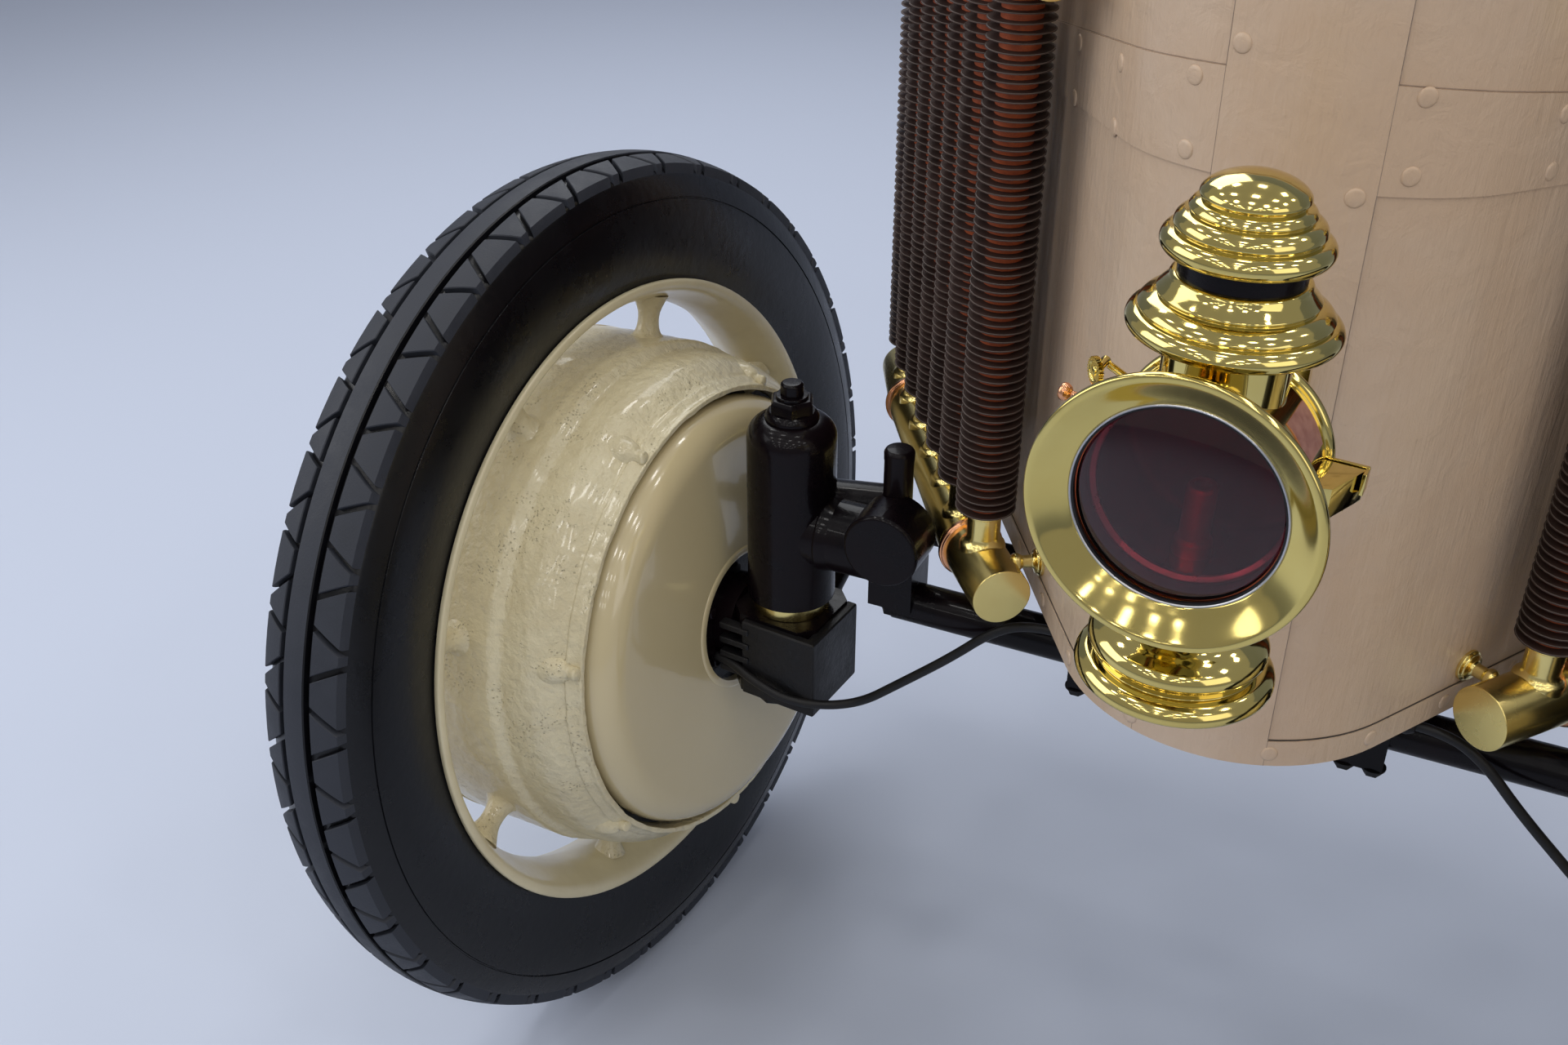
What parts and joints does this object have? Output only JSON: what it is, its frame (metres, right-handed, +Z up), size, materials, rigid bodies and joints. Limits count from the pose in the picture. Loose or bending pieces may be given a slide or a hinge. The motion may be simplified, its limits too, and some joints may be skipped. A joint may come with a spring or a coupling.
{
  "type": "early hybrid car front end",
  "caption": "Front end of an early hybrid car: steered hub motor wheels on a rigid axle, round-nosed casing with brass oil lamp, finned tube radiators on the flanks.",
  "frame": {"origin": "centre of the four bolt holes, on the rear plate's rear face", "axes": "+Z up, -Y forward, +X to the car's left; the wheels are steered 5.4 degrees to the car's right at rest, as in the picture"},
  "size_m": [1.5294, 0.9576, 1.2433],
  "materials": {
    "tyre": "matt",
    "cream_casting": "brushed cream paint on rough casting",
    "cream_cover": "gloss",
    "cream_sheet": "hand painted satin",
    "black_enamel": "gloss",
    "brass": "polished",
    "copper": "polished copper",
    "radiator": "dark fins",
    "lamp_glass": "clear, dark red",
    "cable": "satin",
    "iron": "plain",
    "wood": "varnished"
  },
  "bodies": {
    "root": {"rear_plate": "black_enamel", "frame_rails": "black_enamel", "axle_saddles": "black_enamel", "axle_beam": "black_enamel", "nose_sheet_right": "cream_sheet", "nose_sheet_left": "cream_sheet", "nose_middle_strap": "cream_sheet", "nose_side_bands": "cream_sheet", "nose_hem_bands": "cream_sheet", "nose_lid": "cream_sheet", "nose_dash": "wood", "nose_formers": "wood", "radiator_tubes_right": "radiator", "radiator_tubes_left": "radiator", "lower_manifolds": "brass", "upper_manifolds": "brass", "manifold_couplings": "copper", "lamp_body": "brass", "lamp_bezel": "brass", "lamp_glass": "lamp_glass", "lamp_canopy": "brass", "lamp_neck": "black_enamel", "lamp_cap": "brass", "lamp_fount": "brass", "lamp_knob": "brass", "lamp_bracket": "brass", "motor_cable_right": "cable", "motor_cable_left": "cable", "cable_glands": "black_enamel"},
    "knuckle_right": {"knuckle_right": "black_enamel", "thrust_ring_right": "brass", "kingpin_nut_right": "black_enamel", "motor_cover_right": "cream_cover", "motor_core_right": "iron"},
    "knuckle_left": {"knuckle_left": "black_enamel", "thrust_ring_left": "brass", "kingpin_nut_left": "black_enamel", "motor_cover_left": "cream_cover", "motor_core_left": "iron"},
    "wheel_right": {"tyre_right": "tyre", "wheel_casting_right": "cream_casting", "wheel_outer_cover_right": "cream_casting", "hub_cap_right": "brass"},
    "wheel_left": {"tyre_left": "tyre", "wheel_casting_left": "cream_casting", "wheel_outer_cover_left": "cream_casting", "hub_cap_left": "brass"},
    "tie_rod": {"tie_rod": "black_enamel"}
  },
  "joints": [
    {"name": "steer_right", "type": "hinge", "parent": "root", "child": "knuckle_right", "pos_m": [-0.436, -0.419, -0.1], "axis": [0, 0, 1], "range_deg": [-14.6, 25.4], "deforming": ["motor_cable_right"]},
    {"name": "steer_left", "type": "hinge", "parent": "root", "child": "knuckle_left", "pos_m": [0.436, -0.419, -0.1], "axis": [0, 0, 1], "range_deg": [-14.6, 25.4], "deforming": ["motor_cable_left"]},
    {"name": "wheel_right_spin", "type": "hinge", "parent": "knuckle_right", "child": "wheel_right", "pos_m": [-0.65303, -0.39848, -0.14254], "axis": [0.9924, -0.0938, 0.0802], "continuous": true},
    {"name": "wheel_left_spin", "type": "hinge", "parent": "knuckle_left", "child": "wheel_left", "pos_m": [0.65303, -0.43951, -0.14254], "axis": [0.9924, -0.0938, -0.0802], "continuous": true},
    {"name": "tie_rod_pin", "type": "hinge", "parent": "knuckle_right", "child": "tie_rod", "pos_m": [-0.42386, -0.29057, -0.057], "axis": [0, 0, 1], "range_deg": [-25.4, 14.6]}
  ],
  "couplings": [
    {"joint": "steer_left", "follows": "steer_right", "ratio": 1},
    {"joint": "tie_rod_pin", "follows": "steer_right", "ratio": -1}
  ]
}
